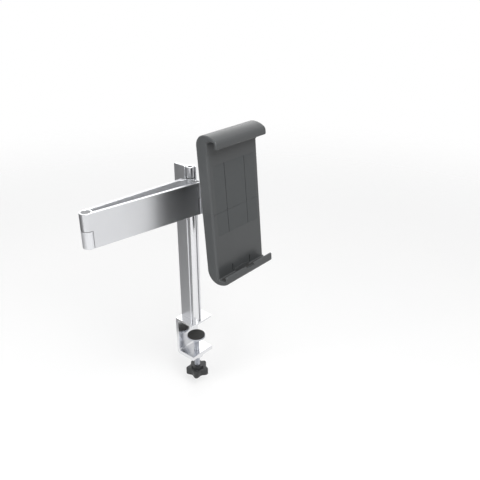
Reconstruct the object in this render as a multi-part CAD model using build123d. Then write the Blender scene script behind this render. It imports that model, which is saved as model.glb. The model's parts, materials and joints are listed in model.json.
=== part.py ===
"""A desk clamp with a post, a folding two-part arm and a spring-loaded tablet holder.

Millimetres. The origin is where the post's axis meets the desk's top surface:
+X runs along the desk's edge, +Y points out over the edge and +Z is up.
"""
from build123d import *
from math import asin, atan2, cos, degrees, hypot, pi, radians, sin, sqrt, tan
import os

# Clearances
fit = 0.05  # radial, a pin or screw in its hole
sliding_fit = 0.08  # radial, the arm's bead in the post
free = 0.3  # between pieces that pass each other
seam = 0.2  # between the closed jaws
round_over = 0.5  # broken edges

# Desk clamp
pad_thickness = 1.0
plate_thickness = 3.0
plate_left = -15.0
plate_right = 23.5
plate_front = -8.0
spine_thickness = 4.5
lower_arm_thickness = 6.0
inner_corner = 2.5
outer_corner = 4.0
desk_thickest = 40.0
desk_thinnest = 10.0
desk_at_rest = 25.0
boss_radius = 9.0
boss_height = 5.5

# Clamp screw
spindle_radius = 4.0
spindle_y = 5.0
tip_radius = 3.0
tip_length = 4.0
foot_radius = 13.0
foot_thickness = 3.0
foot_pad_thickness = 1.5
foot_hub_radius = 7.0
foot_hub_height = 5.0
knob_radius = 12.0
knob_lobe_radius = 5.0
knob_lobes = 5
knob_height = 15.0
knob_neck_radius = 8.0
knob_neck_height = 4.0

# Post
post_height = 228.0
channel_outer = 7.7
channel_inner = 5.4
opening_start = 138.0  # degrees round the post, counter-clockwise from +X
opening_end = 300.0
lip_round = 0.9
fin_thickness = 4.5
fin_face = -3.4
fin_edge = 25.5
fin_root_round = 1.5
bush_height = 14.0
bush_hole_radius = 2.1
bush_hole_depth = 9.0
set_screw_length = 6.0
washer_thickness = 1.2
rod_screw_radius = 2.5
rod_screw_depth = 12.0
fin_screw_radius = 1.5
fin_screw_depth = 10.0
fin_screw_spots = (12.0, 20.0)
countersink_slope = 0.95

# Arms
edge_break = 0.3
arm_height = 42.6
arm_top = 216.6
plate_gauge = 4.45
elbow_x = -151.1
elbow_y = 10.8
elbow_radius = 7.7
elbow_pin_radius = 5.35
elbow_relief = 0.5
neck_width = 3.0
neck_reach = 8.6
neck_length = 10.5
neck_blend = 16.0
neck_round = 5.0
halves_gap = 0.7
washer_inset = 0.8
pin_recess = 0.3

# Wrist
wrist_x = -3.8
wrist_y = -13.8
wrist_radius = 6.0
wrist_pin_radius = 3.9
wrist_relief = 0.5
link_gauge = 4.4
link_square = 12.0
link_corner = 8.0
link_end_radius = 7.0

# Tilt joint
axle_y = -49.0
axle_z = 198.0
rest_tilt = 5.0  # degrees that the holder's face looks up
bolt_radius = 3.0
bolt_head_radius = 5.0
bolt_head_height = 4.0
nut_across_flats = 10.0
nut_height = 4.0
tilt_washer_thickness = 0.5
ear_gauge = 3.5
ear_foot = 20.0
flange_radius = 19.0
flange_thickness = 3.5
flange_gap = 0.7
friction_ring_thickness = 0.9
friction_ring_inner = 6.0
friction_ring_outer = 16.0
friction_gap = 0.1

# Holder
holder_width = 86.0
holder_depth = 16.6
jaw_wall = 2.0
front_edge_round = 3.5
flank_round = 1.2
jaw_travel = 60.0

# Upper jaw
hook_ceiling = 86.0
hook_wall = 7.0
hook_back_round = 13.0
hook_tip = 15.0
hook_tip_round = 6.0
hook_brow_drop = 10.0
hook_reach = 8.2
hook_lip = 3.8
hook_inner_round = 2.5
front_round_stop = 14.0

# Lower jaw
ledge_depth = 82.0
ledge_wall = 4.0
chin_rise = 10.0
lip_tip = 14.4
lip_corner = 4.0
lip_height = 7.2
lip_gauge = 3.2
notch_width = 14.0
notch_depth = 2.6
ledge_round = 1.5
tongue_width = 25.0
tongue_rise = 4.6
tongue_crown = 1.8
tongue_gauge = 1.2
slit_width = 1.2
slit_height = 10.0
slit_offset = 16.0

# Grip pads
pad_gauge = 0.8
pad_groove = 17.4
groove_width = 0.6
pad_side = 36.0
upper_pad_end = 57.0
lower_pad_end = 28.0
liner_gauge = 1.0
liner_margin = 4.0

# Carrier
carrier_gap_above = 3.0
carrier_gap_below = 8.0
carrier_end_wall = 2.0
carrier_side_wall = 3.0
carrier_floor = 1.6
cover_thickness = 1.4
cover_margin = 2.0
hub_radius = 20.0
guide_wall = 2.0
cover_screw_radius = 1.25
cover_screw_head = 2.4
cover_screw_length = 7.0
cover_boss_radius = 3.2
cover_screw_inset = 4.5
pivot_radius = 4.0
pivot_head_radius = 6.3
pivot_head_height = 1.75
pivot_thread_radius = 2.5

# Rack and pinion
module = 1.0
pinion_teeth = 14
addendum = 0.8
dedendum = 1.1
pressure_angle = 20.0
backlash = 0.14
mesh_gap = 0.05
rack_back = 4.0
rack_thickness = 4.3
rack_overrun = 6.0
rack_tail = 6.0
rack_screw_radius = 1.25
rack_screw_head = 2.4
pinion_hub_radius = 4.0
pinion_hub_height = 2.9
pinion_pin_radius = 2.0
pinion_pin_head = 4.0
pinion_pin_head_height = 0.8

# Return spring
spring_band = 0.4
spring_step = 0.65  # growth of each half turn
spring_half_turns = 8
spring_inner = 4.6
spring_width = 2.2

# Worked out from the sizes above
arm_bottom = arm_top - arm_height
arm_middle = arm_top - arm_height / 2
plate_top = pad_thickness + plate_thickness
post_top = plate_top + post_height
bush_bottom = post_top - bush_height
bead_radius = channel_inner - sliding_fit
core_radius = channel_inner - free
spine_inner = fin_edge - spine_thickness
spindle_x = (plate_left + plate_right) / 2
foot_stack = foot_pad_thickness + foot_thickness + foot_hub_height
lower_arm_top = -(desk_thickest + foot_stack + 1.0)
lower_arm_bottom = lower_arm_top - lower_arm_thickness
boss_bottom = lower_arm_bottom - boss_height
foot_top = -desk_at_rest
hub_bottom = foot_top - foot_stack
knob_top = boss_bottom - (desk_at_rest - desk_thinnest) - 1.5

rear_reach = hypot(elbow_x, elbow_y)
rear_angle = degrees(atan2(elbow_y, elbow_x))
fore_reach = hypot(wrist_x - elbow_x, wrist_y - elbow_y)
fore_lean = degrees(asin((elbow_radius - wrist_radius) / fore_reach))
fore_angle = degrees(atan2(wrist_y - elbow_y, wrist_x - elbow_x)) + fore_lean
fore_length = fore_reach * cos(radians(fore_lean))
fore_drop = elbow_radius - wrist_radius

link_near = wrist_x + wrist_radius - link_gauge
link_mid = wrist_x + wrist_radius - link_gauge / 2
ear_inner = link_gauge / 2 + tilt_washer_thickness + fit
ear_outer = ear_inner + ear_gauge
flange_back = link_end_radius + flange_gap
flange_front = flange_back + flange_thickness
axle_to_back = flange_front + friction_ring_thickness + friction_gap
axle_to_front = axle_to_back + holder_depth

hook_crest = hook_ceiling + hook_wall
hook_shoulder = hook_crest - hook_brow_drop
hook_lip_end = hook_ceiling - hook_reach
upper_cavity = hook_ceiling - hook_wall
front_round_end = hook_ceiling - front_round_stop
chin_start = ledge_depth - chin_rise
lip_top = ledge_depth - lip_height
lower_cavity = ledge_depth - ledge_wall
carrier_top = upper_cavity - carrier_gap_above
carrier_bottom = lower_cavity - carrier_gap_below

back = -holder_depth
carrier_back = back + jaw_wall + free
carrier_front = -jaw_wall - free
carrier_half = holder_width / 2 - jaw_wall - free
floor_level = carrier_back + carrier_floor
cover_back = carrier_front - cover_thickness
pitch_radius = module * pinion_teeth / 2
rack_pitch_line = pitch_radius + mesh_gap
rack_outer = rack_pitch_line + dedendum * module + rack_back
rack_front = cover_back - 0.5
rack_rear = rack_front - rack_thickness
guide_inner = rack_outer + free
tooth_pitch = pi * module
pocket_half = carrier_half - carrier_side_wall

tilt = radians(rest_tilt)
outward = Vector(0, -cos(tilt), sin(tilt))
axle = Vector(link_mid, axle_y, axle_z)
tilt_frame = Plane(origin=axle, x_dir=(1, 0, 0), z_dir=outward).location
holder_frame = Plane(origin=axle + outward * axle_to_front, x_dir=(1, 0, 0), z_dir=outward).location


# Helpers

def disc(radius, low, high, at=(0, 0)):
    """A cylinder along Z between two heights."""
    return extrude(Plane.XY.offset(low) * Pos(*at) * Circle(radius), high - low)


def cone(low_radius, high_radius, low, high, at=(0, 0)):
    """A cone along Z between two heights."""
    base = Plane.XY.offset(low) * Pos(*at) * Circle(low_radius)
    tip = Plane.XY.offset(high) * Pos(*at) * Circle(high_radius)
    return loft([base.face(), tip.face()])


def block(left, right, front, rear, low, high):
    """A box between two corners."""
    return Pos((left + right) / 2, (front + rear) / 2, (low + high) / 2) * Box(
        right - left, rear - front, high - low
    )


def slab(face, low, high):
    """A face drawn in X and Y, raised between two heights."""
    return extrude(Plane.XY.offset(low) * face, high - low)


def sideways(face, left, right):
    """A face drawn in Y and Z, run along X."""
    side = Plane(origin=(left, 0, 0), x_dir=(0, 1, 0), z_dir=(1, 0, 0))
    return extrude(side * face, right - left)


def upright(face, low, high):
    """A face drawn in X and Z, run along Y."""
    end = Plane(origin=(0, high, 0), x_dir=(1, 0, 0), z_dir=(0, -1, 0))
    return extrude(end * face, high - low)


def outline(edges):
    """The flat face inside a closed run of lines and arcs, turned to face +Z."""
    face = Face(Wire(edges))
    return face if face.normal_at().Z > 0 else -face


def flank_edges(body):
    """The edges of a jaw's two flanks, apart from those at the seam."""
    half = holder_width / 2
    on_flank = body.edges().filter_by(lambda edge: abs(abs(edge.center().X) - half) < 0.01)
    return on_flank.filter_by(lambda edge: abs(edge.center().Y) > seam)


def rounded(points, radii):
    """A polygon whose corners are rounded, one radius for each point."""
    face = make_face(Polyline(*points, close=True))
    for point, radius in zip(points, radii):
        if radius:
            corner = face.vertices().sort_by_distance((point[0], point[1], 0))[0]
            face = fillet(corner, radius)
    return face


def cut_ends(body):
    """A body with the edges of its lower and upper faces broken."""
    levels = body.edges().group_by(Axis.Z)
    return chamfer(levels[0] + levels[-1], edge_break)


def at_angle(degrees_round, point=(0, 0)):
    """A frame in X and Y turned about Z and moved to a point."""
    return Pos(point[0], point[1]) * Rot(0, 0, degrees_round)


# Desk clamp

def clamp_bracket():
    """The C-shaped bracket that grips the desk, drilled for the post's screws."""
    points = [
        (plate_front, pad_thickness),
        (plate_front, plate_top),
        (fin_edge, plate_top),
        (fin_edge, lower_arm_bottom),
        (plate_front, lower_arm_bottom),
        (plate_front, lower_arm_top),
        (spine_inner, lower_arm_top),
        (spine_inner, pad_thickness),
    ]
    radii = [0, 0, round_over, outer_corner, 2, 2, inner_corner, round_over]
    body = sideways(rounded(points, radii), plate_left, plate_right)
    front_corners = body.edges().filter_by(Axis.Z).group_by(Axis.Y)[0].group_by(Axis.Z)[-1]
    body = fillet(front_corners, 1.5)
    body += disc(boss_radius, boss_bottom, lower_arm_top - 1, (spindle_x, spindle_y))
    bore = disc(spindle_radius + fit, boss_bottom - 1, lower_arm_top + 1, (spindle_x, spindle_y))
    body -= bore
    for radius, spot in foot_screws():
        body -= screw_hole(radius, spot)
    return body


def foot_screws():
    """Radius and place of each screw that comes up into the post."""
    fin_middle = fin_face + fin_thickness / 2
    spots = [(rod_screw_radius, (0, 0))]
    spots += [(fin_screw_radius, (fin_middle, y)) for y in fin_screw_spots]
    return spots


def screw_hole(radius, spot):
    """A countersunk hole up through the top plate."""
    sink = radius * countersink_slope
    hole = disc(radius + fit, pad_thickness - 1, plate_top + 1, spot)
    mouth = cone(2 * radius, radius, pad_thickness, pad_thickness + sink, spot)
    return hole + mouth


def foot_screw(radius, spot, depth):
    """A countersunk screw up through the plate, with a recess for its driver."""
    sink = radius * countersink_slope
    head = cone(2 * radius - fit, radius - fit, pad_thickness, pad_thickness + sink, spot)
    shank = disc(radius, pad_thickness + sink - fit, plate_top + depth, spot)
    recess = slab(Pos(*spot) * RegularPolygon(radius * 0.7, 6), pad_thickness - 1, pad_thickness + 1)
    return head + shank - recess


def desk_pad():
    """The rubber pad between the top plate and the desk."""
    face = rounded(
        [
            (plate_left + 1, plate_front + 1),
            (plate_right - 1, plate_front + 1),
            (plate_right - 1, spine_inner - 1),
            (plate_left + 1, spine_inner - 1),
        ],
        [2, 2, 2, 2],
    )
    return slab(face, 0, pad_thickness)


def pressure_plate():
    """The round foot that the screw presses under the desk, with its socket."""
    at = (spindle_x, spindle_y)
    plate_low = foot_top - foot_pad_thickness - foot_thickness
    plate = disc(foot_radius, plate_low, foot_top - foot_pad_thickness, at)
    plate = chamfer(plate.edges().group_by(Axis.Z)[0], round_over)
    hub = disc(foot_hub_radius, hub_bottom, plate_low, at)
    hub = chamfer(hub.edges().group_by(Axis.Z)[0], 1)
    socket = disc(tip_radius + fit, hub_bottom - 1, hub_bottom + tip_length + fit, at)
    return plate + hub - socket


def pressure_pad():
    """The rubber disc on the foot."""
    at = (spindle_x, spindle_y)
    pad = disc(foot_radius - round_over, foot_top - foot_pad_thickness, foot_top, at)
    return chamfer(pad.edges().group_by(Axis.Z)[-1], round_over)


def clamp_spindle():
    """The threaded spindle, its smooth tip in the foot and its tail in the knob."""
    at = (spindle_x, spindle_y)
    tail = knob_top - knob_height + 3
    shaft = disc(spindle_radius, tail, hub_bottom - free, at)
    shaft = chamfer(shaft.edges().group_by(Axis.Z)[-1], 0.8)
    return shaft + disc(tip_radius, hub_bottom - 1, hub_bottom + tip_length, at)


def clamp_knob():
    """The lobed hand knob with its neck."""
    at = Pos(spindle_x, spindle_y)
    face = Circle(knob_radius)
    for turn in range(knob_lobes):
        face += Rot(0, 0, turn * 360 / knob_lobes) * Pos(knob_radius, 0) * Circle(knob_lobe_radius)
    face = fillet(face.vertices(), 2.5)
    low = knob_top - knob_height
    grip = slab(at * face, low, knob_top - knob_neck_height)
    rims = grip.edges().group_by(Axis.Z)
    grip = chamfer(rims[0] + rims[-1], 1)
    neck = disc(knob_neck_radius, knob_top - knob_neck_height - 1, knob_top, (spindle_x, spindle_y))
    neck = chamfer(neck.edges().group_by(Axis.Z)[-1], 1)
    tail = disc(spindle_radius + fit, low + 3 - fit, knob_top + 1, (spindle_x, spindle_y))
    return grip + neck - tail


# Post

def post_profile():
    """The extruded post: a channel open to the arms, and a fin behind it."""
    middle = (channel_outer + channel_inner) / 2
    wall = Circle(channel_outer) - Circle(channel_inner)
    far = 3 * channel_outer
    sweep = opening_end - opening_start
    wedge_edges = [
        Line((0, 0), polar_point(far, opening_start)),
        CenterArc((0, 0), far, opening_start, sweep),
        Line(polar_point(far, opening_end), (0, 0)),
    ]
    wall -= outline(wedge_edges)
    for angle in (opening_start, opening_end):
        edge_length = channel_outer - channel_inner
        ends = wall.vertices().sort_by_distance(polar_point(middle, angle))[:2]
        wall = fillet(ends, min(lip_round, 0.45 * edge_length))
    fin = Pos(fin_face + fin_thickness / 2, (middle + fin_edge) / 2) * Rectangle(
        fin_thickness, fin_edge - middle
    )
    fin = fillet(fin.vertices().group_by(Axis.Y)[-1], round_over)
    face = wall + fin - Circle(channel_inner)
    roots = [v for v in face.vertices() if is_fin_root(v)]
    face = fillet(roots, fin_root_round)
    body = slab(face, plate_top, post_top)
    body = chamfer(body.edges().group_by(Axis.Z)[-1], edge_break)
    for radius, spot in foot_screws()[1:]:
        body -= disc(radius + fit, plate_top - 1, plate_top + fin_screw_depth + 1, spot)
    return body


def polar_point(radius, angle):
    """A point at a radius and an angle about the origin."""
    return Vector(radius * cos(radians(angle)), radius * sin(radians(angle)))


def is_fin_root(vertex):
    """Whether a corner of the post's section is where the fin leaves the channel."""
    on_channel = abs(hypot(vertex.X, vertex.Y) - channel_outer) < 0.01
    on_face = min(abs(vertex.X - fin_face), abs(vertex.X - fin_face - fin_thickness)) < 0.01
    return on_channel and on_face and vertex.Y > 0


def spacer_rod():
    """The rod inside the post that the arm's washer stands on."""
    rod = disc(core_radius, plate_top, arm_bottom - washer_thickness)
    thread = disc(rod_screw_radius + fit, plate_top - 1, plate_top + rod_screw_depth + 1)
    return rod - thread


def thrust_washers():
    """The slippery discs under and over the arm's bead."""
    lower = disc(core_radius, arm_bottom - washer_thickness, arm_bottom)
    upper = disc(core_radius, bush_bottom - washer_thickness, bush_bottom)
    return [lower, upper]


def stop_bush():
    """The bush that closes the top of the post's channel."""
    bush = disc(core_radius, bush_bottom, post_top)
    bush = chamfer(bush.edges().group_by(Axis.Z)[-1], 0.3)
    return bush - disc(bush_hole_radius, post_top - bush_hole_depth, post_top + 1)


def stop_screw():
    """The set screw down inside the stop bush."""
    low = post_top - bush_hole_depth
    screw = disc(bush_hole_radius - fit, low, low + set_screw_length)
    socket = RegularPolygon(bush_hole_radius * 0.6, 6)
    return screw - slab(socket, low + set_screw_length - 2.5, low + set_screw_length + 1)


# Arms

def rear_arm():
    """The arm on the post: its bead, its neck, its plate and the elbow's lower half."""
    face_in = elbow_radius - plate_gauge
    points = [
        (0, 0),
        (neck_length, 0),
        (neck_blend, -face_in),
        (rear_reach, -face_in),
        (rear_reach, -elbow_radius),
        (neck_reach, -elbow_radius),
        (neck_reach, -neck_width),
        (0, -neck_width),
    ]
    radii = [0, neck_round, neck_round, 0, 0, 1.5, 0.8, 0]
    plate = rounded(points, radii) + Circle(bead_radius)
    elbow = Pos(rear_reach, 0)
    turned = at_angle(rear_angle)
    lower = turned * (plate + elbow * Circle(elbow_radius))
    upper = turned * (plate - elbow * Circle(elbow_radius + elbow_relief))
    split = arm_middle - halves_gap / 2
    body = slab(lower, arm_bottom, split) + slab(upper, split, arm_top)
    body -= disc(elbow_pin_radius + fit, arm_bottom - 1, arm_top + 1, (elbow_x, elbow_y))
    return cut_ends(body)


def front_arm():
    """The arm on the elbow, with the upper halves of the elbow and the wrist."""
    face_in = elbow_radius - plate_gauge
    plate = Pos(fore_length / 2, -(face_in + elbow_radius) / 2) * Rectangle(fore_length, plate_gauge)
    wrist = Pos(fore_length, -fore_drop)
    turned = at_angle(fore_angle, (elbow_x, elbow_y))
    upper = turned * (plate + Circle(elbow_radius) + wrist * Circle(wrist_radius))
    cut = Circle(elbow_radius + elbow_relief) + wrist * Circle(wrist_radius + wrist_relief)
    lower = turned * (plate - cut)
    split = arm_middle + halves_gap / 2
    body = slab(lower, arm_bottom, split) + slab(upper, split, arm_top)
    body -= disc(elbow_pin_radius + fit, arm_bottom - 1, arm_top + 1, (elbow_x, elbow_y))
    body -= disc(wrist_pin_radius + fit, arm_bottom - 1, arm_top + 1, (wrist_x, wrist_y))
    return cut_ends(body)


def hinge_pin(radius, at):
    """A pin through both halves of a joint, just below its faces."""
    pin = disc(radius, arm_bottom + pin_recess, arm_top - pin_recess, at)
    return chamfer(pin.edges().filter_by(GeomType.CIRCLE), 0.4)


def hinge_washer(outer, inner, at):
    """The washer between the two halves of a joint."""
    half = halves_gap / 2 - fit
    ring = Circle(outer - washer_inset) - Circle(inner + fit)
    return slab(Pos(*at) * ring, arm_middle - half, arm_middle + half)


# Wrist link and tilt joint

def wrist_link():
    """The plate from the wrist to the tilt joint, with the wrist's lower half."""
    rise = link_end_radius
    end = Pos(axle_y, axle_z) * Circle(rise)
    square = Pos(wrist_y - link_square / 2, arm_middle) * Rectangle(link_square, arm_height)
    side = make_hull(end.edges() + square.edges())
    corners = side.vertices().filter_by(lambda v: abs(v.X - (wrist_y - link_square)) < 0.01)
    side = fillet(corners, link_corner)
    body = sideways(side, link_near, link_near + link_gauge)
    faces = body.edges().group_by(Axis.X)
    clear_of_wrist = wrist_y - wrist_radius - wrist_relief
    rims = (faces[0] + faces[-1]).filter_by(lambda edge: edge.center().Y < clear_of_wrist)
    body = chamfer(rims, edge_break)
    split = arm_middle - halves_gap / 2
    relief = Pos(wrist_x, wrist_y) * Circle(wrist_radius + wrist_relief)
    body -= slab(relief, split, arm_top + 1)
    body += disc(wrist_radius, arm_bottom, split, (wrist_x, wrist_y))
    body -= disc(wrist_pin_radius + fit, arm_bottom - 1, arm_top + 1, (wrist_x, wrist_y))
    hole = Pos(axle_y, axle_z) * Circle(bolt_radius + fit)
    return body - sideways(hole, link_near - 1, link_near + link_gauge + 1)


def tilt_head():
    """The fork that grips the link, on the round flange that the holder turns against."""
    foot = Pos(0, flange_back) * Rectangle(ear_foot, 1)
    side = make_hull(Circle(link_end_radius).edges() + foot.edges())
    side -= Circle(bolt_radius + fit)
    body = disc(flange_radius, flange_back, flange_front)
    body = chamfer(body.edges().group_by(Axis.Z)[0], 1)
    for left in (-ear_outer, ear_inner):
        body += sideways(side, left, left + ear_gauge)
    body -= disc(pivot_thread_radius + fit, flange_back - 1, flange_front + 1)
    return tilt_frame * body


def tilt_washers():
    """The friction washers between the fork's ears and the link."""
    ring = Circle(link_end_radius - 1) - Circle(bolt_radius + fit)
    left = sideways(ring, -ear_inner, -ear_inner + tilt_washer_thickness)
    right = sideways(ring, ear_inner - tilt_washer_thickness, ear_inner)
    return [tilt_frame * left, tilt_frame * right]


def tilt_bolt():
    """The socket-head bolt through the fork and the link."""
    end = -ear_outer - nut_height - 1
    body = sideways(Circle(bolt_radius), end, ear_outer + 1)
    head = sideways(Circle(bolt_head_radius), ear_outer, ear_outer + bolt_head_height)
    head = chamfer(head.edges().group_by(Axis.X)[-1], 0.5)
    socket = RegularPolygon(bolt_head_radius * 0.55, 6)
    body += head
    body -= sideways(socket, ear_outer + bolt_head_height - 2.2, ear_outer + bolt_head_height + 1)
    return tilt_frame * body


def tilt_nut():
    """The hexagon nut on the tilt bolt."""
    face = RegularPolygon(nut_across_flats / 2, 6, major_radius=False) - Circle(bolt_radius + fit)
    return tilt_frame * sideways(face, -ear_outer - nut_height, -ear_outer)


def friction_ring():
    """The ring that the holder's hub rubs on."""
    ring = Circle(friction_ring_outer) - Circle(friction_ring_inner)
    return tilt_frame * slab(ring, flange_front, flange_front + friction_ring_thickness)


def pivot_screw():
    """The shoulder screw that holds the carrier to the flange and lets it turn."""
    head_low = floor_level - 0.2 - pivot_head_height
    shoulder_low = flange_front - axle_to_front
    body = disc(pivot_head_radius, head_low, head_low + pivot_head_height)
    body += disc(pivot_radius, shoulder_low, head_low + 1)
    body += disc(pivot_thread_radius, shoulder_low - flange_thickness, shoulder_low + 1)
    socket = RegularPolygon(2.5, 6)
    body -= slab(socket, head_low + pivot_head_height - 1.4, head_low + pivot_head_height + 1)
    return holder_frame * body


# Jaws

def shell_section(inset, round_front, round_rear):
    """The jaw's section across the holder, drawn in by an inset."""
    half = holder_width / 2 - inset
    low = back + inset
    high = -inset
    return rounded(
        [(-half, low), (half, low), (half, high), (-half, high)],
        [round_rear, round_rear, round_front, round_front],
    )


def front_edge_cut(low, high):
    """What the rounded front edges take off a jaw."""
    front = Pos(0, -front_edge_round / 2) * Rectangle(holder_width + 2, front_edge_round)
    return upright(front - shell_section(0, front_edge_round, 0), low, high)


def hook_profile():
    """The upper jaw from the side, in height and depth."""
    start = seam / 2
    roll = (hook_crest - hook_back_round, back + hook_back_round)
    nose = (hook_shoulder, hook_tip - hook_tip_round)
    across = nose[1] - roll[1]
    down = hook_crest - hook_shoulder
    gap = down - hook_tip_round
    brow_radius = (across**2 + down**2 - hook_tip_round**2) / (2 * gap)
    brow = (hook_crest - brow_radius, roll[1])
    turn = degrees(atan2(nose[1] - brow[1], nose[0] - brow[0]))
    half_lip = hook_lip / 2
    lip_middle = hook_tip - half_lip
    lip_inner = hook_tip - hook_lip
    lip_low = hook_lip_end + half_lip
    r = hook_inner_round
    return outline(
        [
            Line((start, back), (roll[0], back)),
            CenterArc(roll, hook_back_round, -90, 90),
            CenterArc(brow, brow_radius, 0, turn),
            CenterArc(nose, hook_tip_round, turn, 90 - turn),
            Line((hook_shoulder, hook_tip), (lip_low, hook_tip)),
            CenterArc((lip_low, lip_middle), half_lip, 90, 180),
            Line((lip_low, lip_inner), (hook_ceiling - r, lip_inner)),
            CenterArc((hook_ceiling - r, lip_inner - r), r, 0, 90),
            Line((hook_ceiling, lip_inner - r), (hook_ceiling, r)),
            CenterArc((hook_ceiling - r, r), r, -90, 90),
            Line((hook_ceiling - r, 0), (start, 0)),
            Line((start, 0), (start, back)),
        ]
    )


def upper_jaw():
    """The upper half of the holder, with the hook over the tablet's edge."""
    half = holder_width / 2
    body = sideways(hook_profile(), -half, half)
    body = fillet(flank_edges(body), flank_round)
    body -= front_edge_cut(0, front_round_end)
    cavity = shell_section(jaw_wall, front_edge_round - jaw_wall, 1)
    body -= upright(cavity, -1, upper_cavity)
    body -= hub_notch()
    body -= pad_recess(0, upper_pad_end + fit)
    body -= rack_socket(1)
    return body


def ledge_profile():
    """The lower jaw from the side, in height and depth."""
    start = -seam / 2
    chin = (-chin_start, 0)
    corner = (-ledge_depth, lip_tip - lip_corner)
    drop = chin_start + holder_depth - ledge_depth
    gap = drop - lip_corner
    sole_radius = (corner[1] ** 2 + drop**2 - lip_corner**2) / (2 * gap)
    sole = (-chin_start - holder_depth + sole_radius, 0)
    turn = degrees(atan2(corner[1] - sole[1], corner[0] - sole[0]))
    half_lip = lip_gauge / 2
    lip_middle = lip_tip - half_lip
    lip_inner = lip_tip - lip_gauge
    lip_high = -lip_top - half_lip
    r = ledge_round
    return outline(
        [
            Line((start, back), (-chin_start, back)),
            CenterArc(chin, holder_depth, -90, -90),
            CenterArc(sole, sole_radius, 180, turn - 180),
            CenterArc(corner, lip_corner, turn, 90 - turn),
            Line((-ledge_depth, lip_tip), (lip_high, lip_tip)),
            CenterArc((lip_high, lip_middle), half_lip, 90, -180),
            Line((lip_high, lip_inner), (-ledge_depth + r, lip_inner)),
            CenterArc((-ledge_depth + r, lip_inner - r), r, 90, 90),
            Line((-ledge_depth, lip_inner - r), (-ledge_depth, r)),
            CenterArc((-ledge_depth + r, r), r, 180, 90),
            Line((-ledge_depth + r, 0), (start, 0)),
            Line((start, 0), (start, back)),
        ]
    )


def lower_jaw():
    """The lower half of the holder, with the ledge that the tablet stands on."""
    half = holder_width / 2
    body = sideways(ledge_profile(), -half, half)
    body = fillet(flank_edges(body), flank_round)
    deepest = chin_start + holder_depth
    body -= front_edge_cut(-deepest - 1, 0)
    notch_half = notch_width / 2
    notch_low = -lip_top - notch_depth
    body -= block(-notch_half, notch_half, notch_low, -lip_top + 1, lip_tip - lip_gauge - 1, lip_tip + 1)
    body += tongue()
    reach = sqrt((holder_depth - jaw_wall) ** 2 - (lower_cavity - chin_start) ** 2)
    inner_wall = holder_depth - jaw_wall
    bend = degrees(asin((lower_cavity - chin_start) / inner_wall))
    cavity_side = outline(
        [
            Line((1, -inner_wall), (-chin_start, -inner_wall)),
            CenterArc((-chin_start, 0), inner_wall, -90, -bend),
            Line((-lower_cavity, -reach), (-lower_cavity, -jaw_wall)),
            Line((-lower_cavity, -jaw_wall), (1, -jaw_wall)),
            Line((1, -jaw_wall), (1, -inner_wall)),
        ]
    )
    cavity = shell_section(jaw_wall, front_edge_round - jaw_wall, 1)
    body -= upright(cavity, -lower_cavity - 1, 1) & sideways(cavity_side, -half, half)
    body -= hub_notch()
    body -= pad_recess(-lower_pad_end - fit, 0)
    body -= rack_socket(-1)
    for side in (-1, 1):
        middle = side * slit_offset
        body -= block(
            middle - slit_width / 2,
            middle + slit_width / 2,
            -ledge_depth + ledge_round,
            -ledge_depth + ledge_round + slit_height,
            -jaw_wall - 1,
            1,
        )
    return body


def tongue():
    """The raised tongue between the slits at the foot of the front face, with its arched top."""
    half = tongue_width / 2
    foot = -ledge_depth - 1
    shoulder = -ledge_depth + tongue_rise - tongue_crown
    face = outline(
        [
            Line((-half, foot), (half, foot)),
            Line((half, foot), (half, shoulder)),
            ThreePointArc((half, shoulder), (0, shoulder + tongue_crown), (-half, shoulder)),
            Line((-half, shoulder), (-half, foot)),
        ]
    )
    return slab(face, -jaw_wall / 2, tongue_gauge)


def hub_notch():
    """The round way through a jaw's back for the carrier's hub."""
    return disc(hub_radius + round_over, back - 1, back + jaw_wall + free)


def pad_recess(low, high):
    """The shallow recess for a jaw's grip pads."""
    return block(-pad_side - fit, pad_side + fit, low, high, -pad_gauge, 1)


def face_pads(low, high):
    """Three grip pads side by side with the grooves between them."""
    inner = pad_groove - groove_width / 2
    outer = pad_groove + groove_width / 2
    spans = [(-pad_side, -outer), (-inner, inner), (outer, pad_side)]
    return [holder_frame * block(a, b, low, high, -pad_gauge, 0) for a, b in spans]


def hook_liner():
    """The soft strip inside the hook."""
    half = holder_width / 2 - liner_margin
    r = hook_inner_round
    inner = hook_tip - hook_lip
    return holder_frame * block(-half, half, hook_ceiling - liner_gauge, hook_ceiling, r, inner - r)


def ledge_liner():
    """The soft strip on the ledge."""
    half = holder_width / 2 - liner_margin
    inner = lip_tip - lip_gauge - ledge_round
    low = -ledge_depth
    return holder_frame * block(-half, half, low, low + liner_gauge, tongue_gauge + free, inner)


# Carrier and mechanism

def carrier_tray():
    """The tray that the jaws slide on, with its hub, guides and bosses."""
    section = shell_section(jaw_wall + free, front_edge_round - jaw_wall - free, 1)
    body = upright(section, -carrier_bottom, carrier_top)
    low = -carrier_bottom + carrier_end_wall
    high = carrier_top - carrier_end_wall
    body -= block(-pocket_half, pocket_half, low, high, floor_level, 1)
    body -= cover_seat(fit)
    for side in (-1, 1):
        inner = side * guide_inner
        outer = side * (guide_inner + guide_wall)
        body += block(min(inner, outer), max(inner, outer), low - 1, high + 1, floor_level - 1, cover_back)
    for spot in cover_screw_spots():
        body += disc(cover_boss_radius, floor_level - 1, cover_back, spot)
    for spot in cover_screw_spots():
        body -= disc(cover_screw_radius + fit, cover_back - cover_screw_length, 1, spot)
    for side in (-1, 1):
        slot_low = rack_pitch_line - addendum * module - free
        inner = side * slot_low
        outer = side * guide_inner
        ends = (0, carrier_top + 1) if side > 0 else (-carrier_bottom - 1, 0)
        body -= block(min(inner, outer), max(inner, outer), *ends, rack_rear - free, cover_back)
    body += disc(hub_radius, back, carrier_back + 1)
    recess = floor_level - 0.2 - pivot_head_height - fit
    body -= disc(pivot_head_radius + free, recess, floor_level + 1)
    body -= disc(pivot_radius + fit, back - 1, floor_level)
    return holder_frame * body


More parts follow.
